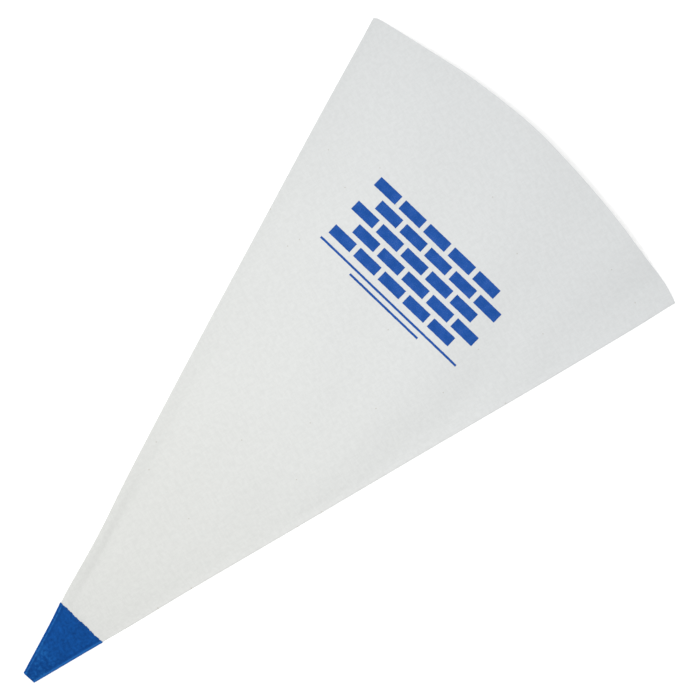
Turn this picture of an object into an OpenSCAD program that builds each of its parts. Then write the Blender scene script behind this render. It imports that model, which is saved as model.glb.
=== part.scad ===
// Grout or piping bag, lying flat and slightly open.
// One sector of canvas is folded along +X and sewn to itself along -X, with the seam turned in.
// The tip points to -Y, the mouth to +Y, and the lower ply rests on z = 0.

/* [Bag] */
// Flat width between the two corners of the mouth
mouth_w = 328; // [260:1:400]
// Length from the cut tip to the crown of the mouth
bag_l = 584; // [450:1:720]
// Flat width of the canvas at the cut tip
tip_w = 12; // [10:1:20]

/* [Cloth] */
// Thickness of the canvas
canvas_t = 0.5; // [0.35:0.05:0.8]
// Thickness of the waterproof film inside
film_t = 0.12; // [0.08:0.02:0.2]

/* [Seam] */
// Width of the two turned-in seam allowances
allowance_w = 8; // [5:0.5:12]
// Diameter of the sewing thread
thread_d = 0.3; // [0.2:0.05:0.5]
// Distance from one needle hole to the next
stitch_l = 4; // [2.5:0.5:6]
// Length of thread that shows between two needle holes
float_l = 3.2; // [1.5:0.1:5]

/* [Dipped tip] */
// Length of the vinyl skin, from the cut tip
dip_l = 60; // [40:1:90]
// Thickness of the vinyl skin
dip_t = 0.4; // [0.3:0.1:1]

/* [Lie] */
// Clear height between the plies in the middle of the mouth
mouth_gap = 12; // [8:1:24]
// Clear height between the plies in the middle of the tip
tip_gap = 1.6; // [1:0.1:3]
// Rise of the two side edges above the middle, at the mouth
side_rise = 2; // [0:0.5:5]

/* [Print] */
// Width of the printed brickwork
print_w = 146; // [80:1:160]
// Height of the printed brickwork
print_h = 64; // [40:1:80]
// Distance from the crown of the mouth to the middle of the brickwork
print_drop = 140; // [90:1:180]
// Number of courses
courses = 5; // [2:1:7]
// Number of bricks in a course
bricks = 5; // [2:1:8]
// Width of the unprinted joints
joint_w = 4; // [2:0.5:6]
// Thickness of the two rules below the brickwork
rule_t = 1.8; // [1:0.2:4]

/* [Hidden] */

// Clearances between pieces that lie on each other
film_gap = 0.03;
thread_gap = 0.05;
ply_gap = 0.05;
skin_gap = 0.03;
ink_gap = 0.06;
ink_t = 0.06;

// The flat bag is a sector about the point where both side edges would meet
half_angle = atan2(2 * bag_l, tip_w) - acos(mouth_w / norm([2 * bag_l, tip_w]));
r_tip = tip_w / (2 * tan(half_angle));
r_mouth = r_tip + bag_l;
r_dip = r_tip + dip_l;
apex_y = -(r_tip + r_mouth) / 2;

// Every turn of the cloth leaves room for the film on both sides and for a thread
turn_h = thread_d + 2 * (film_gap + film_t + thread_gap);
turn_r = turn_h / 2;
turn_x = canvas_t + turn_r;
// Levels over the lower ply's inner face: top of the upper allowance, then the upper ply
allowance_top = turn_h + 2 * canvas_t + ply_gap;
stack_h = allowance_top + turn_h;
// The ply comes down off the allowances over ramp_w near the tip, and over more at the mouth
ramp_w = 4;
mouth_ramp_w = 50;
trim_share = 0.6;
flat_share = 0.6;
stitch_x = turn_x + 2 * thread_d;
step_run = 40;

// Number of steps round a turn, across an allowance, over the seam ridge and across a ply
turn_n = 5;
flap_n = 2;
ridge_n = 5;
ply_n = 22;
tip_rings = 6;
bag_rings = 20;
ink_cell = 8;

dip_radii = [for (i = [0:tip_rings]) r_tip + dip_l * i / tip_rings];
bag_radii = concat(dip_radii, [for (i = [1:bag_rings])
    r_dip + (r_mouth - r_dip) * pow(i / bag_rings, 1.5)]);

function deg(radians) = radians * 180 / PI;
function rad(degrees) = degrees * PI / 180;
function ease(a, b, x) = let (t = min(1, max(0, (x - a) / (b - a)))) t * t * (3 - 2 * t);

// Half of the flat width, measured along the arc of radius r
function half_w(r) = r * rad(half_angle);
// The allowances are trimmed narrower towards the tip
function allow(r) = min(allowance_w, trim_share * half_w(r));
function ridge_end(r) = allow(r) + min(ramp_w, trim_share * half_w(r) / 2)
    + mouth_ramp_w * pow(r / r_mouth, 2);
function turn_s(r) = half_w(r) - turn_x;

// Height of the lower ply's inner face: raised over the vinyl skin and at the side edges
function bed_z(r, s) =
    let (out = max(0, (abs(s) / half_w(r) - flat_share) / (1 - flat_share)))
    canvas_t + (dip_t + skin_gap) * (1 - ease(r_dip, r_dip + step_run, r))
    + side_rise * out * out * half_w(r) / half_w(r_mouth);

// Clear height between the plies: a flat-topped lens, and the seam's allowances along -X
function clear_z(r, s) =
    let (u = min(1, abs(s) / turn_s(r)),
         gap = tip_gap + (mouth_gap - tip_gap) * (r - r_tip) / bag_l)
    turn_h + (gap - turn_h) * pow(1 - pow(u, 4), 2)
    + (stack_h - turn_h) * (1 - ease(allow(r), ridge_end(r), s + half_w(r)));

function roof_z(r, s) = bed_z(r, s) + clear_z(r, s);

// A point at radius r and arc position s; the rings run straight across near the tip
function place(r, s, z) =
    let (a = deg(s / r), straight = 1 - ease(r_dip, 3 * r_dip, r),
         q = r * (1 + straight * (1 / cos(a) - 1)))
    [q * sin(a), apex_y + q * cos(a), z];

// A station is [s, z, outward s, outward z], on the film's side of the cloth
function moved(r, p, d) = place(r, p[0] + p[2] * d, p[1] + p[3] * d);
function turn(s, z, radius, a0, a1) = [for (i = [0:turn_n])
    let (a = a0 + (a1 - a0) * i / turn_n)
    [s + radius * cos(a), z + radius * sin(a), cos(a), sin(a)]];
function ply_s(r) =
    let (s0 = -turn_s(r), s1 = ridge_end(r) - half_w(r), s2 = turn_s(r))
    concat([for (i = [1:ridge_n]) s0 + (s1 - s0) * i / ridge_n],
           [for (i = [1:ply_n - 1]) s1 + (s2 - s1) * i / ply_n]);
function flap_s(r) =
    let (s0 = -turn_s(r), s1 = allow(r) - half_w(r))
    [for (i = [1:flap_n]) s0 + (s1 - s0) * i / flap_n];
function reversed(list) = [for (i = [len(list) - 1:-1:0]) list[i]];

// The cloth's path across the bag, from one raw edge of the seam round to the other
function section(r) =
    let (s0 = -turn_s(r), s1 = turn_s(r), bed0 = bed_z(r, s0), bed1 = bed_z(r, s1))
    concat([for (s = reversed(flap_s(r))) [s, bed_z(r, s) + allowance_top, 0, -1]],
           turn(s0, bed0 + allowance_top + turn_r, turn_r, 270, 90),
           [for (s = ply_s(r)) [s, roof_z(r, s), 0, 1]],
           turn(s1, bed1 + turn_r, turn_r, 90, -90),
           [for (s = reversed(ply_s(r))) [s, bed_z(r, s), 0, -1]],
           turn(s0, bed0 + turn_r, turn_r, 270, 90),
           [for (s = flap_s(r)) [s, bed_z(r, s) + turn_h, 0, 1]]);

// The closed outline round the outside of both plies, which the vinyl skin wraps
function outline(r) =
    let (s0 = -turn_s(r), s1 = turn_s(r), bed0 = bed_z(r, s0), bed1 = bed_z(r, s1))
    concat(turn(s0, bed0 + allowance_top + turn_r, turn_x, 180, 90),
           [for (s = ply_s(r)) [s, roof_z(r, s) + canvas_t, 0, 1]],
           turn(s1, bed1 + turn_r, turn_x, 90, -90),
           [for (s = reversed(ply_s(r))) [s, bed_z(r, s) - canvas_t, 0, -1]],
           turn(s0, bed0 + turn_r, turn_x, 270, 180));

function quad(a, b, c, d) = [[a, b, c], [a, c, d]];

// Cloth between two distances from the path, swept from the tip to the mouth
module swept_cloth(radii, d0, d1) {
    n = len(section(radii[0]));
    m = 2 * n;
    last = (len(radii) - 1) * m;
    points = [for (r = radii) let (path = section(r)) each concat(
        [for (p = path) moved(r, p, d0)],
        [for (p = reversed(path)) moved(r, p, d1)])];
    // Both faces split their quads along the same diagonal, so that neighbours stay parallel
    sides = [for (k = [0:m:last - m], i = [0:m - 1]) let (j = (i + 1) % m)
        each i < n ? quad(k + i, k + j, k + m + j, k + m + i)
                   : quad(k + j, k + m + j, k + m + i, k + i)];
    ends = [for (i = [0:n - 2]) let (a = m - 1 - i) each concat(
        quad(a, a - 1, i + 1, i),
        quad(last + i, last + i + 1, last + a - 1, last + a))];
    polyhedron(points, concat(sides, ends));
}

// A skin round the bag, open at both ends
module swept_skin(radii, d0, d1) {
    n = len(outline(radii[0]));
    m = 2 * n;
    last = (len(radii) - 1) * m;
    points = [for (r = radii) let (path = outline(r)) each concat(
        [for (p = path) moved(r, p, d0)],
        [for (p = path) moved(r, p, d1)])];
    walls = [for (k = [0:m:last - m], i = [0:n - 1]) let (j = (i + 1) % n) each concat(
        quad(k + i, k + j, k + m + j, k + m + i),
        quad(k + n + i, k + m + n + i, k + m + n + j, k + n + j))];
    ends = [for (i = [0:n - 1]) let (j = (i + 1) % n) each concat(
        quad(j, i, n + i, n + j),
        quad(last + i, last + j, last + n + j, last + n + i))];
    polyhedron(points, concat(walls, ends));
}

// A straight length of thread between two points
module thread(p, q) {
    v = q - p;
    translate(p)
        rotate([0, acos(v[2] / norm(v)), atan2(v[1], v[0])])
            cylinder(h = norm(v), d = thread_d, $fn = 16);
}

// One row of stitches along the seam, at a height over the lower ply's inner face
module stitch_row(level) {
    for (r = [r_tip + stitch_l / 2:stitch_l:r_mouth - stitch_l]) {
        ends = [for (q = [r, r + float_l]) let (s = stitch_x - half_w(q))
            place(q, s, bed_z(q, s) + level)];
        thread(ends[0], ends[1]);
    }
}

// A rectangle of ink on the upper ply, bent to its surface
module ink(x0, y0, w, h) {
    nx = max(1, ceil(w / ink_cell));
    ny = max(1, ceil(h / ink_cell));
    row = nx + 1;
    layer = row * (ny + 1);
    points = [for (d = [ink_gap, ink_gap + ink_t], j = [0:ny], i = [0:nx])
        let (x = x0 + w * i / nx, y = y0 + h * j / ny, r = norm([x, y - apex_y]),
             s = r * rad(atan2(x, y - apex_y)))
        [x, y, roof_z(r, s) + canvas_t + d]];
    faces = [for (j = [0:ny - 1], i = [0:nx - 1]) let (a = j * row + i) each concat(
        quad(a, a + 1, a + row + 1, a + row),
        quad(layer + a, layer + a + row, layer + a + row + 1, layer + a + 1))];
    rim = concat([for (i = [0:nx - 1]) i], [for (j = [0:ny - 1]) nx + j * row],
                 [for (i = [nx:-1:1]) ny * row + i], [for (j = [ny:-1:1]) j * row]);
    walls = [for (k = [0:len(rim) - 1]) let (a = rim[k], b = rim[(k + 1) % len(rim)])
        each quad(b, a, layer + a, layer + b)];
    polyhedron(points, concat(faces, walls));
}

module canvas_panel() {
    color([0.88, 0.89, 0.88])
        swept_cloth(bag_radii, 0, canvas_t);
}

module inner_lining() {
    color([0.80, 0.82, 0.80])
        swept_cloth(bag_radii, -(film_gap + film_t), -film_gap);
}

// The needle's thread lies on the upper allowance
module needle_thread() {
    color([0.93, 0.92, 0.88])
        stitch_row(allowance_top + film_gap + film_t + thread_gap + thread_d / 2);
}

// The bobbin's thread lies under the lower allowance
module bobbin_thread() {
    color([0.93, 0.92, 0.88])
        stitch_row(turn_h - film_gap - film_t - thread_gap - thread_d / 2);
}

module dipped_tip() {
    color([0.09, 0.30, 0.58])
        swept_skin(dip_radii, skin_gap, skin_gap + dip_t);
}

// Running-bond brickwork with toothed ends, and two plain rules below it
module print() {
    pitch_x = print_w / (bricks + 0.5);
    pitch_y = print_h / courses;
    base_y = bag_l / 2 - print_drop - print_h / 2;
    color([0.12, 0.33, 0.65]) {
        for (j = [0:courses - 1], i = [0:bricks - 1])
            ink(-print_w / 2 + (i + (j % 2) / 2) * pitch_x + joint_w / 2,
                base_y + j * pitch_y + joint_w / 2, pitch_x - joint_w, pitch_y - joint_w);
        for (k = [1, 2])
            ink(-print_w / (2 * k), base_y - k * 3 * rule_t, print_w / k, rule_t);
    }
}

canvas_panel();
inner_lining();
needle_thread();
bobbin_thread();
dipped_tip();
print();
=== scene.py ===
import math

import bpy
import numpy as np
from bpy.props import FloatProperty, FloatVectorProperty, IntProperty, PointerProperty
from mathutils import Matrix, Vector


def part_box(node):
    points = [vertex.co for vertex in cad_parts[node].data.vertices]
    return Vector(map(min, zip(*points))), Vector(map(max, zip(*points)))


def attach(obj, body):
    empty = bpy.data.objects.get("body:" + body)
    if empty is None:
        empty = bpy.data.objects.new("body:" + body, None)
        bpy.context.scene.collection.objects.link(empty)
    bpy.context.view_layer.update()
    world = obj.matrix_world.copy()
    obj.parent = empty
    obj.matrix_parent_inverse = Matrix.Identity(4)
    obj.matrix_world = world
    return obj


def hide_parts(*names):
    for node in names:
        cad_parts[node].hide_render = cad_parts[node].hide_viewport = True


bl_info = {
    "name": "Canvas Grout Bag",
    "version": (1, 0, 0),
    "blender": (4, 5, 0),
    "location": "3D View > Sidebar > Grout Bag",
    "description": "Builds a canvas grout bag with a dipped tip, lying flat",
    "category": "Add Mesh",
}

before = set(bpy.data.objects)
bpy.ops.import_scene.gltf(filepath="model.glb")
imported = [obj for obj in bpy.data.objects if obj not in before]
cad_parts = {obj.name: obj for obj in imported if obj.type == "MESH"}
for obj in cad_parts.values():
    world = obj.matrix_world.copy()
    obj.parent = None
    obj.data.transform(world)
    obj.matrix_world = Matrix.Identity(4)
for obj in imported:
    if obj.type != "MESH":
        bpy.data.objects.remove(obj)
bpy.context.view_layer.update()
canvas_low, canvas_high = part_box("canvas_panel")
tip_low, tip_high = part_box("dipped_tip")
print_low, print_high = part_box("print")

BODY = "root"
MM = 0.001
SHARP = math.radians(40)


# ---------------------------------------------------------------- sizes and colours

def length(name, description, default):
    return FloatProperty(name=name, description=description, default=default, min=0.0,
                         unit="LENGTH")


def tint(name, description, default):
    return FloatVectorProperty(name=name, description=description, default=default,
                               subtype="COLOR", min=0.0, max=1.0)


class GroutBagSizes(bpy.types.PropertyGroup):
    """Sizes of the cloth, and how it lies"""
    tip_width: length("Tip width", "Flat width of the canvas at the cut tip", 12 * MM)
    canvas_thickness: length("Canvas thickness", "Thickness of the canvas", 0.5 * MM)
    film_thickness: length("Film thickness", "Thickness of the waterproof film inside", 0.12 * MM)
    film_gap: length("Film gap", "Clearance between the canvas and its film", 0.03 * MM)
    skin_thickness: length("Skin thickness", "Thickness of the vinyl on the dipped tip", 0.4 * MM)
    allowance: length("Seam allowance", "Width of the two turned-in edges at the seam", 8 * MM)
    turn_height: length("Turn height", "Clear height inside each turn of the cloth", 0.7 * MM)
    side_rise: length("Side rise", "Rise of the two side edges at the mouth", 2 * MM)
    tip_gap: length("Tip gap", "Clear height between the plies at the tip", 1.6 * MM)
    thread: length("Thread", "Diameter of the sewing thread", 0.3 * MM)
    stitch: length("Stitch", "Distance from one needle hole to the next", 4 * MM)
    weave: length("Weave", "Distance from one yarn of the canvas to the next", 0.62 * MM)
    courses: IntProperty(
        name="Courses", description="Courses of bricks in the print", default=5, min=1)
    bricks: IntProperty(
        name="Bricks", description="Bricks in one course of the print", default=5, min=1)
    joint: length("Joint", "Width of the unprinted joints", 4 * MM)
    rule: length("Rule", "Thickness of the rules below the bricks", 1.8 * MM)


class GroutBagColours(bpy.types.PropertyGroup):
    """Colours of the finishes"""
    canvas: tint("Canvas", "Bleached cotton canvas", (0.625, 0.637, 0.632))
    film: tint("Film", "Waterproof film inside", (0.60, 0.62, 0.60))
    thread: tint("Thread", "Sewing thread", (0.76, 0.75, 0.70))
    vinyl: tint("Vinyl", "Dipped vinyl skin of the tip", (0.003, 0.054, 0.235))
    ink: tint("Ink", "Screen-printed ink", (0.006, 0.066, 0.30))
    floor: tint("Floor", "Plain pale floor", (0.97, 0.97, 0.97))


# ---------------------------------------------------------------- how the bag lies

def ease(a, b, x):
    """0 before a, 1 after b, and smooth between them"""
    t = np.clip((x - a) / (b - a), 0.0, 1.0)
    return t * t * (3 - 2 * t)


def bump(x, middle, spread):
    """1 at the middle, falling off smoothly on both sides"""
    return np.exp(-((x - middle) / spread) ** 2)


class Lie:
    """Where each point of the cloth lies, from its radius and its arc position.

    The flat bag is a sector about the point where both side edges would meet. The arc
    position s is negative towards the seam and positive towards the fold. Distances from
    the seam edge are called e, from the fold f, and u is the share of the half width.
    """

    settled = None
    skin_gap = 0.03 * MM
    ply_gap = 0.05 * MM
    step_run = 40 * MM
    # The allowances: the share of their width that they take up as they lie, the most they
    # take of the half width, and how far the upper ply's drop from them runs on
    lying_share, trim_share = 0.82, 0.6
    drop_start, drop_end, dipped_end = 0.5, 1.5, 1.75
    loose_drop, mouth_drop = 5 * MM, 50 * MM
    # The lower ply: its flat share, and how its side edges curl up
    flat_share = 0.6
    curl_reach, fold_curl, seam_curl = 9 * MM, 1.0 * MM, 0.5 * MM
    # The upper ply: how fast it rises to the mouth, the strip pressed flat along the seam,
    # and the crease along the allowances
    opening = 1.4
    pressed_width, pressed_until = 9 * MM, (300 * MM, 500 * MM)
    crease_depth, crease_e, crease_r = 0.42 * MM, 8.6 * MM, 148 * MM
    # The cut outline: how far in from the sides and from the mouth it is uneven, where the
    # tip is drawn in, and where the settled height fades in
    side_reach, mouth_reach = (20 * MM, 90 * MM), 60 * MM
    drawn_in_until = (60 * MM, 95 * MM)
    settled_from = (140 * MM, 280 * MM)

    def __init__(self, sizes):
        self.sizes = sizes
        self.length = canvas_high.y - canvas_low.y
        mouth = canvas_high.x - canvas_low.x
        tip, twice = sizes.tip_width, 2 * self.length
        self.half_angle = math.atan2(twice, tip) - math.acos(mouth / math.hypot(twice, tip))
        self.r_tip = tip / (2 * math.tan(self.half_angle))
        self.r_mouth = self.r_tip + self.length
        self.r_dip = self.r_tip + (tip_high.y - tip_low.y)
        self.apex_y = canvas_low.y - self.r_tip
        self.t = sizes.canvas_thickness
        self.turn_h = sizes.turn_height
        self.turn_r = self.turn_h / 2
        self.turn_x = self.t + self.turn_r
        self.allowance_top = self.turn_h + 2 * self.t + self.ply_gap
        self.stack_h = self.allowance_top + self.turn_h
        self.mouth_gap = canvas_high.z - 2 * self.t
        self.lift = sizes.skin_thickness + self.skin_gap

    def half_w(self, r):
        return r * self.half_angle

    def turn_s(self, r):
        return self.half_w(r) - self.turn_x

    def bare(self, r):
        """0 along the dip, and 1 where the cloth is clear of it"""
        return ease(self.r_dip, self.r_dip + self.step_run, r)

    def allow(self, r):
        """Width that the allowances take up as they lie"""
        width = self.lying_share * self.sizes.allowance
        return np.minimum(width, self.trim_share * self.half_w(r))

    def ridge_end(self, r):
        """Arc distance from the seam at which the allowances no longer lift the upper ply"""
        end = (self.drop_end * self.allow(r) + self.mouth_drop * (r / self.r_mouth) ** 2
               + self.loose_drop * ease(185 * MM, 215 * MM, r))
        dipped = 1 - ease(self.r_dip - 3 * MM, self.r_dip + 3 * MM, r)
        return end + (self.dipped_end * self.half_w(r) - end) * dipped

    def bed_z(self, r, s):
        """Height of the lower ply's film side"""
        w, bare = self.half_w(r), self.bare(r)
        out = np.maximum(0.0, (np.abs(s) / w - self.flat_share) / (1 - self.flat_share))
        rise = self.sizes.side_rise * out ** 2 * w / self.half_w(self.r_mouth)
        curl = (self.fold_curl * np.clip(1 - (w - s) / self.curl_reach, 0, 1) ** 2
                + self.seam_curl * np.clip(1 - (w + s) / self.curl_reach, 0, 1) ** 2)
        return self.t + self.lift * (1 - bare) + rise + curl * bare

    def clear_z(self, r, s):
        """Clear height between the plies"""
        pressed = (np.where(s < 0, self.pressed_width, 0)
                   * (1 - ease(*self.pressed_until, r)) * self.bare(r))
        u = np.minimum(1.0, np.abs(s) / (self.turn_s(r) - pressed))
        share = ((r - self.r_tip) / self.length) ** self.opening
        gap = self.sizes.tip_gap + (self.mouth_gap - self.sizes.tip_gap) * share
        lens = (gap - self.turn_h) * (1 - u ** 4) ** 2
        e = s + self.half_w(r)
        stack = (self.stack_h - self.turn_h) * (
            1 - ease(self.drop_start * self.allow(r), self.ridge_end(r), e))
        crease = (self.crease_depth * bump(e, self.crease_e, 2.8 * MM)
                  * bump(r, self.crease_r, 45 * MM))
        return self.turn_h + lens + stack - crease

    def roof_z(self, r, s):
        """Height of the upper ply's film side, with the soft waves that a stored bag keeps"""
        u, v = s / self.half_w(r), r / self.r_mouth
        reach = (r - self.r_tip) / self.length
        open_end = ease(0.45, 1.0, reach)
        valley = -1.1 * MM * bump(u, 0.84, 0.085) * open_end
        crest = 0.7 * MM * bump(u, 0.62, 0.12) * open_end
        loose = ease(0.25, 0.75, reach) * ease(0.0, 0.25, 1 - np.abs(u))
        roll = 0.8 * MM * np.sin(2 * math.pi * (1.35 * u + 2.1 * v + 0.15))
        drift = 0.5 * MM * np.sin(2 * math.pi * (-0.8 * u + 3.3 * v + 0.4))
        wave = valley + crest + (roll + drift) * loose + self.settle_z(r, s)
        lowest = self.bed_z(r, s) + self.turn_h
        smooth = self.bed_z(r, s) + self.clear_z(r, s)
        beside_turn = ease(0.0, 0.04, 1 - np.abs(s) / self.turn_s(r))
        return np.maximum(lowest, smooth + wave * beside_turn)

    def trimmed(self, r, s):
        """The hand-cut outline: the sewn edge bows a little, and the mouth isn't a true arc"""
        w = self.half_w(r)
        e, f = s + w, w - s
        dip = 1 - ease(*self.drawn_in_until, r)
        # How far each edge stands out, in millimetres, at bumps along it
        bow = (0.7 * bump(r, 310 * MM, 100 * MM) - 1.4 * bump(r, 138 * MM, 40 * MM)
               - 1.3 * bump(r, self.r_mouth, 70 * MM) - 0.15 - 0.50 * dip) * MM
        tuck = (0.35 * bump(r, 480 * MM, 70 * MM) - 0.25 * bump(r, 160 * MM, 60 * MM)
                - 0.9 * bump(r, self.r_mouth, 25 * MM)) * MM
        drawn_in = 0.65 * MM * dip
        by_seam, by_fold = 1 - ease(*self.side_reach, e), 1 - ease(*self.side_reach, f)
        s = (s - bow * by_seam + tuck * by_fold) * (1 - drawn_in / w)
        angle = np.degrees((s if np.ndim(s) else float(s)) / r)
        cut = (-0.6 + 0.9 * bump(angle, -1.2, 2.6) - 1.6 * bump(angle, -11.0, 3.2)
               + 2.3 * bump(angle, 14.0, 2.0)) * MM
        seam_corner = -1.7 * MM * np.clip(1 - e / (4.5 * MM), 0, 1) ** 2
        fold_corner = -0.5 * MM * np.clip(1 - f / (1.6 * MM), 0, 1) ** 2
        near_mouth = ease(self.r_mouth - self.mouth_reach, self.r_mouth, r)
        return r + (cut + seam_corner + fold_corner) * near_mouth, s

    def settle_z(self, r, s):
        """How far the upper ply moved when it settled, read smoothly off the settled grid"""
        if Lie.settled is None:
            return 0.0
        rows, columns = Lie.settled.shape
        row = np.clip((r - self.r_dip) / (self.r_mouth - self.r_dip), 0, 1) * (rows - 1)
        column = (np.clip(s / self.turn_s(r), -1, 1) + 1) / 2 * (columns - 1)
        row, column = np.broadcast_arrays(row, column)
        total = 0.0
        for i, weight_i in self.spline_weights(row, rows):
            for j, weight_j in self.spline_weights(column, columns):
                total = total + weight_i * weight_j * Lie.settled[i, j]
        return total * ease(*self.settled_from, r)

    @staticmethod
    def spline_weights(x, count):
        """The four grid lines about x, with their weights in a smooth curve"""
        base = np.clip(np.floor(x).astype(int), 0, count - 2)
        t = x - base
        weights = ((1 - t) ** 3 / 6, (3 * t ** 3 - 6 * t ** 2 + 4) / 6,
                   (-3 * t ** 3 + 3 * t ** 2 + 3 * t + 1) / 6, t ** 3 / 6)
        return [(np.clip(base + k - 1, 0, count - 1), w) for k, w in enumerate(weights)]

    def place(self, r, s, z):
        """The point at that radius and arc position; the rings run straight across near the tip"""
        r_cut, s_cut = self.trimmed(r, s)
        a = s_cut / r
        straight = 1 - ease(self.r_dip, 3 * self.r_dip, r)
        q = r_cut * (1 + straight * (1 / np.cos(a) - 1))
        return np.stack([q * np.sin(a), self.apex_y + q * np.cos(a), z + 0 * q], axis=-1)


class Path:
    """The cloth's path across the bag at every radius: radius, arc position and height"""

    def __init__(self, lie, radii, ply_n=132, bed_n=60, ridge_n=30, turn_n=8, flap_n=6):
        self.lie = lie
        r = radii[:, None]
        s0, s1 = -lie.turn_s(r), lie.turn_s(r)
        bed0, bed1 = lie.bed_z(r, s0), lie.bed_z(r, s1)
        flap = self.steps(s0, lie.allow(r) - lie.half_w(r), flap_n)
        ridge = self.steps(s0, lie.ridge_end(r) - lie.half_w(r), ridge_n)
        rest = self.steps(ridge[:, -1:], s1, ply_n - ridge_n)[:, :-1]
        roof = np.hstack([ridge, rest])
        bed = self.steps(s1, s0, bed_n)[:, :-1]
        top = lie.allowance_top
        pieces = [
            (flap[:, ::-1], lie.bed_z(r, flap[:, ::-1]) + top),
            self.turn(s0, bed0 + top + lie.turn_r, lie.turn_r, 270, 90, turn_n),
            (roof, lie.roof_z(r, roof)),
            self.turn(s1, bed1 + lie.turn_r, lie.turn_r, 90, -90, turn_n),
            (bed, lie.bed_z(r, bed)),
            self.turn(s0, bed0 + lie.turn_r, lie.turn_r, 270, 90, turn_n),
            (flap, lie.bed_z(r, flap) + lie.turn_h),
        ]
        self.s = np.hstack([p[0] for p in pieces])
        self.z = np.hstack([p[1] for p in pieces])
        self.r = np.broadcast_to(r, self.s.shape)
        counts = [p[0].shape[1] for p in pieces]
        starts = np.cumsum([0] + counts)
        self.fold = starts[3] + counts[3] // 2

    @staticmethod
    def steps(a, b, n):
        """n steps from a to b, without a itself"""
        return a + (b - a) * np.arange(1, n + 1) / n

    @staticmethod
    def turn(s, z, radius, a0, a1, n):
        a = np.radians(a0 + (a1 - a0) * np.arange(n + 1) / n)
        return s + radius * np.cos(a), z + radius * np.sin(a)

    def points(self):
        return self.lie.place(self.r, self.s, self.z)


class Outline(Path):
    """The closed outline round the outside of both plies"""

    def __init__(self, lie, radii, ply_n=90, bed_n=60, turn_n=8):
        self.lie = lie
        r = radii[:, None]
        s0, s1 = -lie.turn_s(r), lie.turn_s(r)
        bed0, bed1 = lie.bed_z(r, s0), lie.bed_z(r, s1)
        roof = self.steps(s0, s1, ply_n)[:, :-1]
        bed = self.steps(s1, s0, bed_n)[:, :-1]
        top = lie.allowance_top
        pieces = [
            self.turn(s0, bed0 + top + lie.turn_r, lie.turn_x, 180, 90, turn_n),
            (roof, lie.roof_z(r, roof) + lie.t),
            self.turn(s1, bed1 + lie.turn_r, lie.turn_x, 90, -90, turn_n),
            (bed, lie.bed_z(r, bed) - lie.t),
            self.turn(s0, bed0 + lie.turn_r, lie.turn_x, 270, 180, turn_n),
        ]
        self.s = np.hstack([p[0] for p in pieces])
        self.z = np.hstack([p[1] for p in pieces])
        self.r = np.broadcast_to(r, self.s.shape)
        self.fold = turn_n + 1 + roof.shape[1] + turn_n // 2


def normals(points, closed=False):
    """Unit normals of a grid of points, rings along the first axis"""
    along = np.gradient(points, axis=0)
    if closed:
        across = np.roll(points, -1, axis=1) - np.roll(points, 1, axis=1)
    else:
        across = np.gradient(points, axis=1)
    n = np.cross(along, across)
    return n / np.maximum(np.linalg.norm(n, axis=-1, keepdims=True), 1e-12)


def flat_pattern(points, r, fold):
    """Where each point was on the cloth before it was folded, with the warp along the fold"""
    step = np.linalg.norm(np.diff(points, axis=1), axis=-1)
    across = np.hstack([np.zeros((len(points), 1)), np.cumsum(step, axis=1)])
    angle = (across - across[:, fold:fold + 1]) / r
    return np.stack([r * np.sin(angle), r * np.cos(angle)], axis=-1)


# ---------------------------------------------------------------- meshes

def smooth(mesh):
    """Shades the mesh smooth, except across sharp edges"""
    mesh.polygons.foreach_set("use_smooth", [True] * len(mesh.polygons))
    mesh.set_sharp_from_angle(angle=SHARP)


def new_piece(name, verts, faces, uv=None, material=None):
    """A mesh object at the origin"""
    mesh = bpy.data.meshes.new(name)
    mesh.from_pydata([tuple(v) for v in verts], [], faces)
    mesh.update()
    if uv is not None:
        layer = mesh.uv_layers.new(name="Cloth")
        corner = np.zeros(len(mesh.loops), dtype=np.int32)
        mesh.loops.foreach_get("vertex_index", corner)
        layer.data.foreach_set("uv", np.asarray(uv, np.float32)[corner].ravel())
    smooth(mesh)
    if material:
        mesh.materials.append(material)
    piece = bpy.data.objects.new(name, mesh)
    bpy.context.scene.collection.objects.link(piece)
    return piece


def strip_solid(inner, outer):
    """Verts and faces of a sheet between two grids of points, closed all round"""
    rings, n = inner.shape[:2]
    verts = np.vstack([inner.reshape(-1, 3), outer.reshape(-1, 3)])
    half = rings * n
    k, i = np.meshgrid(np.arange(rings - 1), np.arange(n - 1), indexing="ij")
    a = (k * n + i).ravel()
    quads = [np.stack([a, a + 1, a + n + 1, a + n], -1),
             np.stack([a, a + n, a + n + 1, a + 1], -1) + half]
    for edge, flip in ((np.arange(n), False), (np.arange(n) + (rings - 1) * n, True),
                       (np.arange(rings) * n, True), (np.arange(rings) * n + n - 1, False)):
        p, q = edge[:-1], edge[1:]
        side = np.stack([q, p, p + half, q + half], -1)
        quads.append(side[:, ::-1] if flip else side)
    return verts, np.vstack(quads).tolist()


def tube_solid(inner, outer):
    """Verts and faces of a skin between two grids of closed rings, open at both ends"""
    rings, n = inner.shape[:2]
    verts = np.vstack([inner.reshape(-1, 3), outer.reshape(-1, 3)])
    half = rings * n
    k, i = np.meshgrid(np.arange(rings - 1), np.arange(n), indexing="ij")
    a, b = (k * n + i).ravel(), (k * n + (i + 1) % n).ravel()
    quads = [np.stack([a, b, b + n, a + n], -1),
             np.stack([a, a + n, b + n, b], -1) + half]
    i = np.arange(n)
    j, last = (i + 1) % n, (rings - 1) * n
    quads.append(np.stack([j, i, i + half, j + half], -1))
    quads.append(np.stack([i, j, j + half, i + half], -1) + last)
    return verts, np.vstack(quads).tolist()


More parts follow.
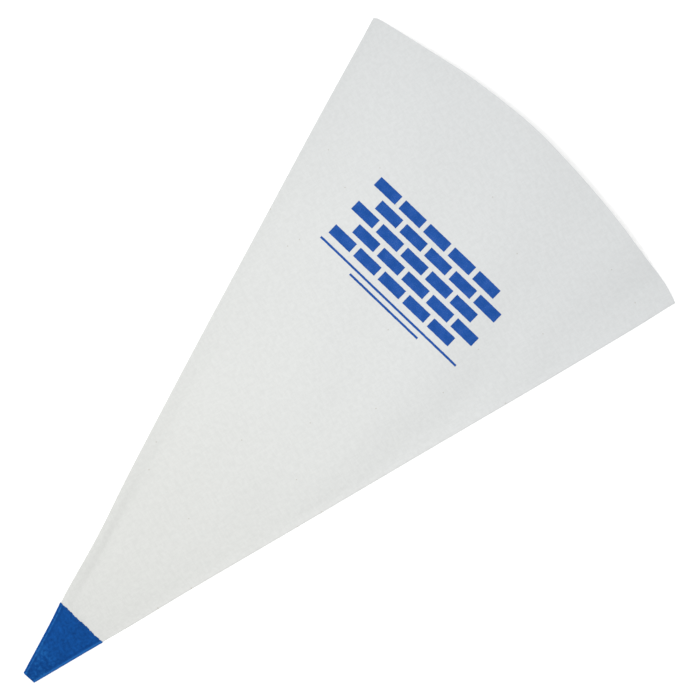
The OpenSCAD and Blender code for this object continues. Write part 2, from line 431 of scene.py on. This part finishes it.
def outward(piece):
    """Faces point outwards"""
    mesh = piece.data
    co = np.zeros(len(mesh.vertices) * 3)
    mesh.vertices.foreach_get("co", co)
    co = co.reshape(-1, 3)
    mesh.calc_loop_triangles()
    tri = np.array([t.vertices[:] for t in mesh.loop_triangles])
    volume = np.einsum("ij,ij->i", co[tri[:, 0]], np.cross(co[tri[:, 1]], co[tri[:, 2]])).sum()
    if volume < 0:
        mesh.flip_normals()
    return piece


def cloth_piece(name, solid, middle, inner, outer, path, material):
    """A piece between two grids of points, with the flat pattern of its middle grid"""
    verts, faces = solid(inner, outer)
    pattern = flat_pattern(middle, path.r, path.fold).reshape(-1, 2)
    return outward(new_piece(name, verts, faces, np.vstack([pattern, pattern]), material))


def settle(lie):
    """How far the upper ply moves when it finds its own lie.

    It is held along the seam, the fold and the dip, and shrinks by less than a thousandth.
    """
    rings, across, frames, most = 96, 81, 24, 1.5 * MM
    seam_grip, fold_grip = 1.5 * lie.sizes.allowance, 0.96
    r = np.linspace(lie.r_dip, lie.r_mouth, rings)[:, None]
    u = np.linspace(-1, 1, across)[None, :]
    s = u * lie.turn_s(r)
    start = lie.place(r + 0 * s, s, lie.roof_z(r, s)).reshape(-1, 3)
    k, i = np.meshgrid(np.arange(rings - 1), np.arange(across - 1), indexing="ij")
    a = (k * across + i).ravel()
    faces = np.stack([a, a + 1, a + across + 1, a + across], -1).tolist()
    ply = new_piece("settling ply", start, faces)
    from_seam = (s + lie.half_w(r)).ravel()
    held = (from_seam < seam_grip) | (np.broadcast_to(u, s.shape).ravel() > fold_grip)
    held |= np.arange(rings * across) < 2 * across
    pins = ply.vertex_groups.new(name="held")
    pins.add(np.nonzero(held)[0].tolist(), 1.0, "REPLACE")
    cloth = ply.modifiers.new("cloth", "CLOTH")
    cloth.point_cache.frame_end = frames
    cloth.collision_settings.use_collision = False
    canvas = cloth.settings
    canvas.vertex_group_mass = "held"
    canvas.quality = 6
    canvas.mass = 0.02
    canvas.tension_stiffness = 60
    canvas.compression_stiffness = 60
    canvas.shear_stiffness = 30
    canvas.bending_stiffness = 40
    canvas.shrink_min = -0.0008
    canvas.effector_weights.gravity = 0.001
    scene = bpy.context.scene
    for number in range(1, frames + 1):
        scene.frame_set(number)
    found = ply.evaluated_get(bpy.context.evaluated_depsgraph_get()).data
    end = np.zeros(len(found.vertices) * 3)
    found.vertices.foreach_get("co", end)
    scene.frame_set(1)
    bpy.data.objects.remove(ply)
    moved = (end.reshape(-1, 3) - start)[:, 2].reshape(rings, across)
    return most * np.tanh(moved / most)


# ---------------------------------------------------------------- node trees

class Wire:
    """A socket, on which arithmetic adds Math nodes"""

    def __init__(self, tree, socket):
        self.tree = tree
        self.socket = socket

    def maths(self, operation, *others):
        inputs = dict(enumerate((self,) + others))
        return self.tree.node("ShaderNodeMath", {"operation": operation}, inputs)

    def output(self, name):
        """Another output of the same node"""
        return Wire(self.tree, self.socket.node.outputs[name])

    def __add__(self, other):
        return self.maths("ADD", other)

    def __sub__(self, other):
        return self.maths("SUBTRACT", other)

    def __rsub__(self, other):
        return self.tree.node("ShaderNodeMath", {"operation": "SUBTRACT"}, {0: other, 1: self})

    def __mul__(self, other):
        return self.maths("MULTIPLY", other)

    def __truediv__(self, other):
        return self.maths("DIVIDE", other)

    def __pow__(self, other):
        return self.maths("POWER", other)

    __radd__ = __add__
    __rmul__ = __mul__

    def sin(self):
        return self.maths("SINE")

    def absolute(self):
        return self.maths("ABSOLUTE")

    def above(self, level):
        return self.maths("GREATER_THAN", level)

    def ramp(self, low, high):
        """0 below low, 1 above high, and smooth between them"""
        return self.tree.node("ShaderNodeMapRange", {"interpolation_type": "SMOOTHSTEP"},
                               {"Value": self, "From Min": low, "From Max": high})


class Tree:
    """A node tree being built"""

    def __init__(self, tree):
        self.tree = tree
        tree.nodes.clear()

    def node(self, kind, settings=None, inputs=None, output=0):
        """A node with its settings and inputs, and the wire that leaves it"""
        node = self.tree.nodes.new(kind)
        for name, value in (settings or {}).items():
            setattr(node, name, value)
        for name, value in (inputs or {}).items():
            if isinstance(value, Wire):
                self.tree.links.new(value.socket, node.inputs[name])
            else:
                node.inputs[name].default_value = value
        return Wire(self, node.outputs[output]) if node.outputs else None

    def join(self, *parts):
        """Several geometries as one"""
        joined = self.tree.nodes.new("GeometryNodeJoinGeometry")
        for part in parts:
            self.tree.links.new(part.socket, joined.inputs[0])
        return Wire(self, joined.outputs[0])

    def vector(self, x=0.0, y=0.0, z=0.0):
        return self.node("ShaderNodeCombineXYZ", inputs={0: x, 1: y, 2: z})


class Pattern(Tree):
    """A Geometry Nodes tree with named inputs, and the values that they take"""

    kinds = {int: "NodeSocketInt", float: "NodeSocketFloat",
             bpy.types.Object: "NodeSocketObject", bpy.types.Material: "NodeSocketMaterial"}

    def __init__(self, name, values):
        super().__init__(bpy.data.node_groups.new(name, "GeometryNodeTree"))
        self.name = name
        sockets = self.tree.interface
        sockets.new_socket("Geometry", in_out="INPUT", socket_type="NodeSocketGeometry")
        sockets.new_socket("Geometry", in_out="OUTPUT", socket_type="NodeSocketGeometry")
        self.values = {}
        for label, value in values.items():
            kind = next(k for t, k in self.kinds.items() if isinstance(value, t))
            socket = sockets.new_socket(label, in_out="INPUT", socket_type=kind)
            self.values[socket.identifier] = value
        self.group = self.tree.nodes.new("NodeGroupInput")

    def value(self, label):
        return Wire(self, self.group.outputs[label])

    def grow(self, geometry, base):
        """Ends the tree, and turns what it makes on that base mesh into a plain mesh object"""
        real = self.node("GeometryNodeRealizeInstances", inputs={0: geometry})
        made = self.node("GeometryNodeSetMaterial",
                         inputs={0: real, "Material": self.value("Material")})
        self.node("NodeGroupOutput", inputs={0: made})
        holder = bpy.data.objects.new(self.name + " holder", base)
        bpy.context.scene.collection.objects.link(holder)
        modifier = holder.modifiers.new("pattern", "NODES")
        modifier.node_group = self.tree
        for identifier, value in self.values.items():
            modifier[identifier] = value
        graph = bpy.context.evaluated_depsgraph_get()
        mesh = bpy.data.meshes.new_from_object(holder.evaluated_get(graph))
        bpy.data.objects.remove(holder)
        if not mesh.polygons:
            raise RuntimeError(self.name + " came out empty")
        piece = bpy.data.objects.new(self.name, mesh)
        bpy.context.scene.collection.objects.link(piece)
        return piece


class Paint(Tree):
    """A material being mixed"""

    def __init__(self, name):
        self.material = bpy.data.materials.new(name)
        self.material.use_nodes = True
        super().__init__(self.material.node_tree)

    def cloth(self):
        """The flat pattern, in metres, as separate warp and weft positions"""
        uv = self.node("ShaderNodeUVMap", {"uv_map": "Cloth"})
        split = self.node("ShaderNodeSeparateXYZ", inputs={0: uv})
        return uv, split, split.output(1)

    def place(self):
        return self.node("ShaderNodeTexCoord", output="Object")

    def stretch(self, vector, scale):
        return self.node("ShaderNodeVectorMath", {"operation": "MULTIPLY"},
                         {0: vector, 1: scale})

    def noise(self, vector, scale, detail=3.0, roughness=0.5):
        inputs = {"Vector": vector, "Scale": scale, "Detail": detail, "Roughness": roughness}
        return self.node("ShaderNodeTexNoise", inputs=inputs)

    def mix(self, factor, a, b, blend="MIX"):
        colour = {"data_type": "RGBA", "blend_type": blend}
        pair = [(*c, 1.0) if isinstance(c, (tuple, list)) else c for c in (a, b)]
        return self.node("ShaderNodeMix", colour, {0: factor, 6: pair[0], 7: pair[1]}, output=2)

    def bump(self, height, distance, strength):
        inputs = {"Height": height, "Distance": distance, "Strength": strength}
        return self.node("ShaderNodeBump", inputs=inputs)

    def surface(self, inputs):
        shader = self.node("ShaderNodeBsdfPrincipled", inputs=inputs)
        self.node("ShaderNodeOutputMaterial", inputs={"Surface": shader})
        return self.material


# Noise scales are in features per metre of cloth. In the flat pattern u and v run across and
# along the fold, and v starts at the point where both side edges would meet.

HUSK = (0.30, 0.25, 0.17)
CLOTH_UNDER_INK = (0.30, 0.38, 0.52)


def colour(rgb, *factors):
    """The colour with its parts scaled, by one factor or by three"""
    factors = factors * 3 if len(factors) == 1 else factors
    return tuple(min(1.0, part * factor) for part, factor in zip(rgb, factors))


def plain_weave(u, v, pitch):
    """Height of a plain weave: each yarn arches over one crossing and dips under the next"""
    a = (u * (math.pi / pitch)).sin()
    b = (v * (math.pi / pitch)).sin()
    over = (a * b * 3.0).ramp(-1.0, 1.0)
    return a.absolute() * over + b.absolute() * (1.0 - over)


def yarn_slubs(paint, uv, pitch):
    """Thick and thin yarns, running both ways, six times as long as they are wide"""
    long_way, thick = 6.0, 1 / (2.0 * pitch)
    warp = paint.noise(paint.stretch(uv, (thick, thick / long_way, 1)), 1.0, 2.0)
    weft = paint.noise(paint.stretch(uv, (thick / long_way, thick, 1)), 1.0, 2.0)
    return warp, weft


def canvas_material(sizes, colours):
    paint = Paint("bleached canvas")
    uv, u, v = paint.cloth()
    weave = plain_weave(u, v, sizes.weave)
    warp, weft = yarn_slubs(paint, uv, sizes.weave)
    slub = (warp + weft) * 0.5
    fuzz = paint.noise(uv, 2600.0, 2.0)
    nap = paint.noise(uv, 300.0, 3.0, 0.6)
    cloud = paint.noise(uv, 9.0, 3.0)
    handled = paint.mix(v.ramp(0.10, 0.60), (1.008, 1.0, 0.975), (0.995, 1.0, 1.012))
    base = paint.mix(cloud.ramp(0.35, 0.65), colour(colours.canvas, 0.985),
                     colour(colours.canvas, 1.01))
    uneven = slub * 0.55 + nap * 0.45
    yarns = paint.mix(uneven.ramp(0.37, 0.63), colour(colours.canvas, 0.945),
                      colour(colours.canvas, 1.045))
    tone = paint.mix(1.0, paint.mix(0.62, base, yarns), handled, "MULTIPLY")
    # Painted shade in the dips of the weave, where the yarns pass under each other
    tone = paint.mix((1.0 - weave) * 0.10, tone, colour(colours.canvas, 0.62))
    cells = paint.node("ShaderNodeTexVoronoi", {"voronoi_dimensions": "2D"},
                       {"Vector": uv, "Scale": 62.0})
    chosen = paint.node("ShaderNodeSeparateXYZ", inputs={0: cells.output("Color")}).above(0.93)
    grain = paint.noise(uv, 900.0, 1.0)
    speck = (1.0 - (cells + grain * 0.012).ramp(0.026, 0.042)) * chosen
    tone = paint.mix(speck * 0.45, tone, HUSK)
    height = weave * 0.55 + slub * 0.9 + fuzz * 0.25
    normal = paint.bump(height, 0.12 * MM, 0.8)
    return paint.surface({"Base Color": tone, "Roughness": 0.92, "Normal": normal,
                          "Specular IOR Level": 0.22, "Sheen Weight": 0.06,
                          "Sheen Roughness": 0.6})


def film_material(sizes, colours):
    paint = Paint("waterproof film")
    uv, u, v = paint.cloth()
    weave = plain_weave(u, v, sizes.weave)
    cloud = paint.noise(uv, 30.0, 4.0)
    tone = paint.mix(cloud.ramp(0.3, 0.7), colour(colours.film, 0.95), colour(colours.film, 1.05))
    rough = cloud * 0.15 + 0.36
    wrinkle = paint.noise(uv, 160.0, 3.0)
    normal = paint.bump(weave * 0.3 + wrinkle * 1.2, 0.15 * MM, 0.6)
    return paint.surface({"Base Color": tone, "Roughness": rough, "Normal": normal,
                          "Specular IOR Level": 0.45})


def thread_material(colours):
    paint = Paint("sewing thread")
    twist = paint.node("ShaderNodeTexWave", {"bands_direction": "DIAGONAL"},
                       {"Vector": paint.place(), "Scale": 1700.0, "Distortion": 1.0})
    fibre = twist.output(1)
    # Painted shade in the grooves of the twist: the thread is darker where the fibres dip
    tone = paint.mix(fibre, colour(colours.thread, 0.82), colours.thread[:])
    normal = paint.bump(fibre, 0.05 * MM, 0.7)
    return paint.surface({"Base Color": tone, "Roughness": 0.7, "Normal": normal,
                          "Sheen Weight": 0.2})


def vinyl_material(sizes, colours):
    paint = Paint("dipped vinyl")
    uv, u, v = paint.cloth()
    weave = plain_weave(u, v, sizes.weave)
    warp, weft = yarn_slubs(paint, uv, sizes.weave * 1.6)
    mottle = paint.noise(uv, 420.0, 4.0, 0.6)
    patch = paint.noise(uv, 60.0, 3.0)
    mixed = mottle * 0.5 + patch * 0.2 + (warp + weft) * 0.15
    vinyl = colours.vinyl
    tone = paint.mix(mixed.ramp(0.28, 0.72), colour(vinyl, 0.68), colour(vinyl, 1.8, 1.5, 1.4))
    near_end = (v * -1.0).ramp(-50 * MM, -32 * MM)
    rubbed = (patch * 0.5 + mottle * 0.5).ramp(0.47, 0.62) * near_end
    tone = paint.mix(rubbed * 0.7, tone, colour(vinyl, 5.0, 2.4, 1.6))
    # Painted highlight along the beads of both side edges, and painted shade in the hollows beside
    # them
    bead = paint.node("ShaderNodeAttribute", {"attribute_name": "Bead"}, output="Fac")
    tone = paint.mix(bead.ramp(0.1, 1.0), tone, colour(vinyl, 4.5, 2.0, 1.5))
    tone = paint.mix((bead * -1.0).ramp(0.0, 1.0) * 0.6, tone, colour(vinyl, 0.8))
    rough = mottle * 0.22 + 0.38
    height = weave * 0.30 + (warp + weft) * 0.5 + mottle * 0.9
    normal = paint.bump(height, 0.16 * MM, 0.7)
    return paint.surface({"Base Color": tone, "Roughness": rough, "Normal": normal,
                          "Specular IOR Level": 0.04})


def ink_material(sizes, colours):
    paint = Paint("screen ink")
    uv, u, v = paint.cloth()
    weave = plain_weave(u, v, sizes.weave)
    warp, weft = yarn_slubs(paint, uv, sizes.weave)
    slub = (warp + weft) * 0.5
    thin = paint.noise(uv, 1500.0, 3.0)
    patch = paint.noise(uv, 140.0, 3.0)
    tone = paint.mix(patch.ramp(0.3, 0.7), colour(colours.ink, 0.95), colour(colours.ink, 1.1))
    bare = ((1.0 - weave) * 0.5 + thin * 0.6 + patch * 0.3).ramp(0.74, 0.96)
    tone = paint.mix(bare * 0.25, tone, CLOTH_UNDER_INK)
    normal = paint.bump(weave * 0.5 + slub * 0.9 + thin * 0.2, 0.12 * MM, 0.7)
    return paint.surface({"Base Color": tone, "Roughness": 0.72, "Normal": normal,
                          "Specular IOR Level": 0.12})


def floor_material(colours):
    paint = Paint("studio floor")
    grain = paint.noise(paint.place(), 3.0, 2.0)
    tone = paint.mix(grain, colour(colours.floor, 0.995), colour(colours.floor, 1.005))
    return paint.surface({"Base Color": tone, "Roughness": 0.9, "Specular IOR Level": 0.1,
                          "Emission Color": (1.0, 1.0, 1.0, 1.0), "Emission Strength": 0.30})


# ---------------------------------------------------------------- finishing calls

def finish_piece(piece, slot, *nodes):
    """Rides the one body and stands for those CAD nodes, which it hides. The slot is not used."""
    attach(piece, BODY)
    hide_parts(*nodes)


def ring_radii(lie, count):
    """Radii from the tip to the mouth, closer together at both ends"""
    t = np.linspace(0, 1, count)
    return lie.r_tip + lie.length * (t - 0.06 * np.sin(2 * math.pi * t))


def shared(scene):
    """The bag as it lies, with its sizes and colours"""
    return Lie(scene.grout_bag_sizes), scene.grout_bag_sizes, scene.grout_bag_colours


# ---------------------------------------------------------------- operators

class GROUTBAG_OT_canvas(bpy.types.Operator):
    """Make the folded and sewn sector of canvas"""
    bl_idname = "groutbag.canvas"
    bl_label = "Canvas"

    def execute(self, context):
        lie, sizes, colours = shared(context.scene)
        Lie.settled = settle(lie)
        path = Path(lie, ring_radii(lie, 190))
        inner = path.points()
        outer = inner - normals(inner) * lie.t
        piece = cloth_piece("canvas_cloth", strip_solid, inner, inner, outer, path,
                            canvas_material(sizes, colours))
        finish_piece(piece, "canvas", "canvas_panel")
        return {"FINISHED"}


class GROUTBAG_OT_film(bpy.types.Operator):
    """Make the waterproof film on the inside of the canvas"""
    bl_idname = "groutbag.film"
    bl_label = "Film"

    def execute(self, context):
        lie, sizes, colours = shared(context.scene)
        path = Path(lie, ring_radii(lie, 140), ply_n=110, bed_n=50, ridge_n=24, turn_n=6, flap_n=4)
        points = path.points()
        n = normals(points)
        outer = points + n * sizes.film_gap
        inner = points + n * (sizes.film_gap + sizes.film_thickness)
        piece = cloth_piece("film_lining", strip_solid, points, inner, outer, path,
                            film_material(sizes, colours))
        finish_piece(piece, "film", "inner_lining")
        return {"FINISHED"}


class GROUTBAG_OT_tip(bpy.types.Operator):
    """Make the dipped vinyl skin of the tip"""
    bl_idname = "groutbag.tip"
    bl_label = "Dipped tip"

    rings = 60
    bead_height = 0.24 * MM
    hollow_depth = 0.10 * MM
    rim_height = 0.16 * MM

    def execute(self, context):
        lie, sizes, colours = shared(context.scene)
        path = Outline(lie, np.linspace(lie.r_tip, lie.r_dip, self.rings))
        points = path.points()
        # The dip line is level, but uneven in waves of 19, 5.6 and 2.6 mm
        uneven = 0.22 * MM * (np.sin(path.s * 330) + 0.8 * np.sin(path.s * 1130 + 1.0)
                              + 0.6 * np.sin(path.s * 2390 + 2.0))
        shift = uneven * ease(lie.r_dip - 12 * MM, lie.r_dip, path.r)
        points = points + np.stack([0 * shift, shift, 0 * shift], -1)
        # Beads along both sides, with a hollow beside each, lumpy over the seam
        e, f = lie.half_w(path.r) + path.s, lie.half_w(path.r) - path.s
        turn = 2 * math.pi * path.r / MM
        lumps = 0.7 + 0.45 * np.sin(turn / 4.2 + 1.5 * np.sin(turn / 17.0))
        bead = 1.2 * bump(f, 1.0 * MM, 0.7 * MM) + 1.9 * lumps * bump(e, 1.9 * MM, 0.5 * MM)
        hollow = bump(f, 3.1 * MM, 1.0 * MM) + bump(e, 3.6 * MM, 1.1 * MM)
        beads = self.bead_height * bead - self.hollow_depth * hollow
        # A thin edge with a rim just inside it
        inside = lie.r_dip - path.r
        rim = self.rim_height * bump(inside, 1.1 * MM, 0.8 * MM)
        thickness = sizes.skin_thickness * (0.45 + 0.55 * ease(0.0, 1.2 * MM, inside))
        n = -normals(path.points(), closed=True)
        inner = points + n * lie.skin_gap
        outer = points + n * (lie.skin_gap + thickness + beads + rim)[..., None]
        outer[..., 2] = np.maximum(outer[..., 2], 0.0)
        piece = cloth_piece("vinyl_skin", tube_solid, points, inner, outer, path,
                            vinyl_material(sizes, colours))
        # Mask for the skin's painted highlight on the beads and painted shade in the hollows
        lit_beads_shaded_hollows = (bead - 0.8 * hollow).ravel()
        both = np.concatenate([lit_beads_shaded_hollows, lit_beads_shaded_hollows]).astype(np.float32)
        piece.data.attributes.new("Bead", "FLOAT", "POINT").data.foreach_set("value", both)
        finish_piece(piece, "vinyl", "dipped_tip")
        return {"FINISHED"}


class GROUTBAG_OT_threads(bpy.types.Operator):
    """Make the needle and bobbin threads of the seam"""
    bl_idname = "groutbag.threads"
    bl_label = "Threads"

    def seam_line(self, lie, level):
        """The line of needle holes through both allowances, at that height over the bed"""
        sizes = lie.sizes
        first = lie.r_tip + sizes.stitch / 2
        r = np.arange(first, lie.r_mouth - sizes.stitch, sizes.stitch / 2)
        s = lie.turn_x + 2 * sizes.thread - lie.half_w(r)
        points = lie.place(r, s, lie.bed_z(r, s) + level)
        mesh = bpy.data.meshes.new("seam line")
        links = [(i, i + 1) for i in range(len(points) - 1)]
        mesh.from_pydata([tuple(p) for p in points], links, [])
        return mesh

    def stitches(self, name, line, side, sizes, material):
        """Short lengths of thread along the line, whose ends turn down into their holes"""
        pattern = Pattern(name, {"Stitch": sizes.stitch, "Thread": sizes.thread, "Side": side,
                                 "Seed": 7, "Material": material})
        stitch, thread = pattern.value("Stitch"), pattern.value("Thread")
        seam = pattern.node("GeometryNodeMeshToCurve", inputs={0: pattern.value("Geometry")})
        holes = pattern.node("GeometryNodeResampleCurve", {"mode": "LENGTH"},
                             {"Curve": seam, "Length": stitch})
        spine = pattern.node("GeometryNodeCurvePrimitiveLine", inputs={
            "Start": pattern.vector(z=stitch * -0.43), "End": pattern.vector(z=stitch * 0.43)})
        spine = pattern.node("GeometryNodeResampleCurve", {"mode": "COUNT"},
                             {"Curve": spine, "Count": 9})
        along = pattern.node("GeometryNodeSplineParameter")
        out = (along * 2.0 - 1.0).absolute() ** 6.0
        drop = out * thread * pattern.value("Side") * -0.9
        spine = pattern.node("GeometryNodeSetPosition",
                             inputs={"Geometry": spine, "Offset": pattern.vector(x=drop)})
        ring = pattern.node("GeometryNodeCurvePrimitiveCircle",
                            inputs={"Resolution": 8, "Radius": thread * 0.5})
        capped = pattern.node("GeometryNodeCurveToMesh", inputs={
            "Curve": spine, "Profile Curve": ring, "Fill Caps": True})
        tangent = pattern.node("GeometryNodeInputTangent")
        facing = pattern.node("FunctionNodeAlignEulerToVector", {"axis": "Z"},
                              {"Vector": tangent})
        facing = pattern.node("FunctionNodeAlignEulerToVector",
                              {"axis": "X", "pivot_axis": "Z"},
                              {"Rotation": facing, "Vector": (0.0, 0.0, 1.0)})
        slack = pattern.node("FunctionNodeRandomValue", inputs={
            2: 0.92, 3: 1.06, "Seed": pattern.value("Seed")}, output=1)
        laid = pattern.node("GeometryNodeInstanceOnPoints", inputs={
            "Points": holes, "Instance": capped, "Rotation": facing,
            "Scale": pattern.vector(1.0, 1.0, slack)})
        return pattern.grow(laid, line)

    def execute(self, context):
        lie, sizes, colours = shared(context.scene)
        material = thread_material(colours)
        clear = sizes.film_gap + sizes.film_thickness + 0.05 * MM + sizes.thread / 2
        for name, level, side, node in (
                ("needle_stitches", lie.allowance_top + clear, 1.0, "needle_thread"),
                ("bobbin_stitches", lie.turn_h - clear, -1.0, "bobbin_thread")):
            line = self.seam_line(lie, level)
            piece = self.stitches(name, line, side, sizes, material)
            piece.data.polygons.foreach_set("use_smooth", [True] * len(piece.data.polygons))
            finish_piece(piece, "thread", node)
        return {"FINISHED"}


class GROUTBAG_OT_print(bpy.types.Operator):
    """Print the brickwork and its two rules on the upper ply"""
    bl_idname = "groutbag.print"
    bl_label = "Print"

    def execute(self, context):
        lie, sizes, colours = shared(context.scene)
        rules = 2
        base_y = print_low.y + 3 * rules * sizes.rule
        values = {
            "Width": print_high.x - print_low.x,
            "Height": print_high.y - base_y + sizes.joint / 2,
            "Base": base_y, "Courses": sizes.courses, "Bricks": sizes.bricks,
            "Joint": sizes.joint, "Rule": sizes.rule, "Cell": 0.95 * MM,
            "Lift": 0.02 * MM, "Ink": 0.05 * MM,
            "Canvas": bpy.data.objects["canvas_cloth"],
            "Material": ink_material(sizes, colours)}
        pattern = Pattern("ink_print", values)
        width, height, base, bricks, joint, rule = (
            pattern.value(label)
            for label in ("Width", "Height", "Base", "Bricks", "Joint", "Rule"))
        pitch_x, pitch_y = width / (bricks + 0.5), height / pattern.value("Courses")

        def patch(size_x, size_y):
            """A flat patch whose cells are fine enough to follow the cloth"""
            cells_x = (size_x / pattern.value("Cell")).maths("CEIL") + 1.0
            cells_y = (size_y / pattern.value("Cell")).maths("CEIL") + 1.0
            return pattern.node("GeometryNodeMeshGrid", inputs={
                "Size X": size_x, "Size Y": size_y, "Vertices X": cells_x,
                "Vertices Y": cells_y})

        index = pattern.node("GeometryNodeInputIndex")
        course = (index / bricks).maths("FLOOR")
        shift = (course / 2.0).maths("FRACT")
        in_course = index - course * bricks
        x = (in_course + shift + 0.5) * pitch_x - width * 0.5
        y = (course + 0.5) * pitch_y + base
        middles = pattern.node("GeometryNodePoints", inputs={
            "Count": bricks * pattern.value("Courses"), "Position": pattern.vector(x, y)})
        laid = pattern.node("GeometryNodeInstanceOnPoints", inputs={
            "Points": middles, "Instance": patch(pitch_x - joint, pitch_y - joint)})
        parts = [pattern.node("GeometryNodeRealizeInstances", inputs={0: laid})]
        for k in range(1, rules + 1):
            y = base - rule * (3 * k - 0.5)
            parts.append(pattern.node("GeometryNodeTransform", inputs={
                "Geometry": patch(width / k, rule), "Translation": pattern.vector(y=y)}))
        flat = pattern.join(*parts)
        spot = pattern.node("GeometryNodeInputPosition")
        jitter = pattern.node("ShaderNodeTexNoise", inputs={"Vector": spot, "Scale": 700.0})
        stray = pattern.node("ShaderNodeVectorMath", {"operation": "MULTIPLY_ADD"}, {
            0: jitter.output("Color"), 1: (0.5 * MM, 0.5 * MM, 0.0),
            2: (-0.25 * MM, -0.25 * MM, 0.1)})
        flat = pattern.node("GeometryNodeSetPosition", inputs={"Geometry": flat, "Offset": stray})
        cloth = pattern.node("GeometryNodeObjectInfo",
                             inputs={"Object": pattern.value("Canvas")}, output="Geometry")
        uv = pattern.node("GeometryNodeInputNamedAttribute", {"data_type": "FLOAT_VECTOR"},
                          {"Name": "Cloth"})
        hit = pattern.node("GeometryNodeRaycast", {"data_type": "FLOAT_VECTOR"}, {
            "Target Geometry": cloth, "Attribute": uv, "Ray Direction": (0.0, 0.0, -1.0),
            "Ray Length": 1.0}, output="Attribute")
        flat = pattern.node("GeometryNodeStoreNamedAttribute",
                            {"data_type": "FLOAT2", "domain": "CORNER"},
                            {"Geometry": flat, "Name": "Cloth", "Value": hit})
        up = pattern.vector(z=pattern.value("Lift"))
        place = pattern.node("ShaderNodeVectorMath", {"operation": "ADD"},
                             {0: hit.output("Hit Position"), 1: up})
        laid = pattern.node("GeometryNodeSetPosition",
                            inputs={"Geometry": flat, "Position": place})
        thick = pattern.node("GeometryNodeExtrudeMesh", {"mode": "FACES"}, {
            "Mesh": laid, "Offset": (0.0, 0.0, 1.0), "Offset Scale": pattern.value("Ink"),
            "Individual": False})
        under = pattern.node("GeometryNodeFlipFaces", inputs={"Mesh": laid})
        closed = pattern.node("GeometryNodeMergeByDistance", inputs={
            "Geometry": pattern.join(thick, under), "Distance": 0.001 * MM})
        piece = outward(pattern.grow(closed, bpy.data.meshes.new("print holder")))
        smooth(piece.data)
        finish_piece(piece, "ink", "print")
        return {"FINISHED"}


class GROUTBAG_OT_stage(bpy.types.Operator):
    """Set the floor, the lights and the camera"""
    bl_idname = "groutbag.stage"
    bl_label = "Stage"

    floor_half = 12.0
    sky = 0.86
    key = {"place": (-4.2, -1.4, 3.2), "size": 2.0, "power": 42}
    overhead = {"place": (-0.06, -0.01, 0.62), "size": 0.3, "power": 1.35}
    # The camera looks straight down, with the bag's axis across the view at this angle
    aim = (0.0047, 0.0673)
    axis_angle = math.radians(46.24)
    height = 2.4
    field = 0.5488
    sensor = 36

    def area_light(self, name, place, size, power):
        data = bpy.data.lights.new(name, "AREA")
        data.shape = "DISK"
        data.size = size
        data.energy = power
        light = bpy.data.objects.new(name, data)
        light.location = place
        light.visible_camera = False
        light.rotation_euler = (-Vector(place)).to_track_quat("-Z", "Y").to_euler()
        bpy.context.scene.collection.objects.link(light)

    def execute(self, context):
        scene = context.scene
        colours = scene.grout_bag_colours
        half = self.floor_half
        corners = [(-half, -half, 0), (half, -half, 0), (half, half, 0), (-half, half, 0)]
        floor = new_piece("floor", corners, [(0, 1, 2, 3)], material=floor_material(colours))
        world = bpy.data.worlds.new("studio")
        world.use_nodes = True
        background = world.node_tree.nodes["Background"].inputs
        background["Color"].default_value = (1, 1, 1, 1)
        background["Strength"].default_value = self.sky
        scene.world = world
        self.area_light("key", **self.key)
        self.area_light("overhead", **self.overhead)
        data = bpy.data.cameras.new("camera")
        data.sensor_width = self.sensor
        data.lens = self.sensor * self.height / self.field
        camera = bpy.data.objects.new("camera", data)
        camera.location = (*self.aim, self.height)
        camera.rotation_euler = (0, 0, math.pi / 2 - self.axis_angle)
        scene.collection.objects.link(camera)
        scene.camera = camera
        scene.view_settings.view_transform = "Standard"
        scene.view_settings.look = "None"
        return {"FINISHED"}


class GROUTBAG_PT_panel(bpy.types.Panel):
    """Lists the pieces of the bag"""
    bl_idname = "GROUTBAG_PT_panel"
    bl_label = "Grout Bag"
    bl_space_type = "VIEW_3D"
    bl_region_type = "UI"
    bl_category = "Grout Bag"

    def draw(self, context):
        for operator in STEPS:
            self.layout.operator(operator.bl_idname)


STEPS = (GROUTBAG_OT_stage, GROUTBAG_OT_canvas, GROUTBAG_OT_film, GROUTBAG_OT_threads,
         GROUTBAG_OT_tip, GROUTBAG_OT_print)
CLASSES = (GroutBagSizes, GroutBagColours, *STEPS, GROUTBAG_PT_panel)


def register():
    for cls in CLASSES:
        bpy.utils.register_class(cls)
    bpy.types.Scene.grout_bag_sizes = PointerProperty(type=GroutBagSizes)
    bpy.types.Scene.grout_bag_colours = PointerProperty(type=GroutBagColours)


def unregister():
    del bpy.types.Scene.grout_bag_colours
    del bpy.types.Scene.grout_bag_sizes
    for cls in reversed(CLASSES):
        bpy.utils.unregister_class(cls)


def main():
    register()
    bpy.ops.groutbag.stage()
    bpy.ops.groutbag.canvas()
    bpy.ops.groutbag.film()
    bpy.ops.groutbag.threads()
    bpy.ops.groutbag.tip()
    bpy.ops.groutbag.print()


if __name__ == "__main__":
    main()
